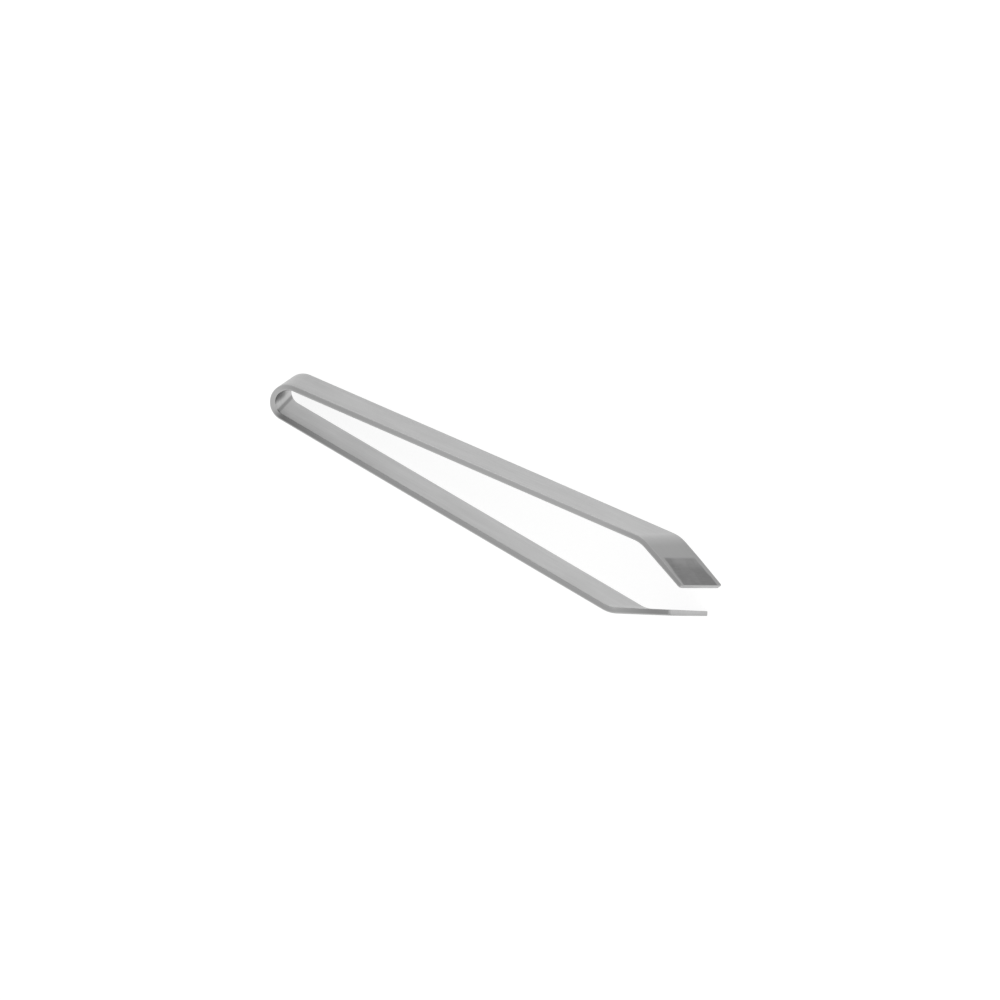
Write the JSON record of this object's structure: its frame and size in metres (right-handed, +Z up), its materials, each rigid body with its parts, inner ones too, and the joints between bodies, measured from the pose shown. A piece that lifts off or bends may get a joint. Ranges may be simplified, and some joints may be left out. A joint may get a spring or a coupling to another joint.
{
  "type": "spring tongs",
  "caption": "Spring tongs folded from one flat strip of satin stainless steel: a round spring bow, straight diverging arms and jaws bent inwards on a skewed line to a ground edge.",
  "frame": {"origin": "under the middle of the tongs' box, level with the lower corners of the jaws, so the tongs lie on the strip's edges at z = 0", "axes": "+X from the spring bow to the jaws, +Y towards the left arm, across the opening, +Z up across the width of the strip"},
  "size_m": [0.12, 0.022, 0.0151],
  "materials": {
    "satin_strip": "satin, fine grain along the strip",
    "ground_jaw": "satin, with a ground facet behind the gripping edge"
  },
  "bodies": {
    "bow": {"spring_bow": "satin_strip"},
    "left_half": {"left_arm": "satin_strip", "left_jaw": "ground_jaw"},
    "right_half": {"right_arm": "satin_strip", "right_jaw": "ground_jaw"}
  },
  "joints": [
    {"name": "left_squeeze", "type": "hinge", "parent": "bow", "child": "left_half", "pos_m": [-0.05529, 0, 0.00799], "axis": [0, 0, -1], "range_deg": [0, 1.59], "stiffness_Nm_per_rad": 20},
    {"name": "right_squeeze", "type": "hinge", "parent": "bow", "child": "right_half", "pos_m": [-0.05529, 0, 0.00799], "axis": [0, 0, 1], "range_deg": [0, 1.59], "stiffness_Nm_per_rad": 20}
  ],
  "couplings": [
    {"joint": "right_squeeze", "follows": "left_squeeze", "ratio": 1}
  ]
}
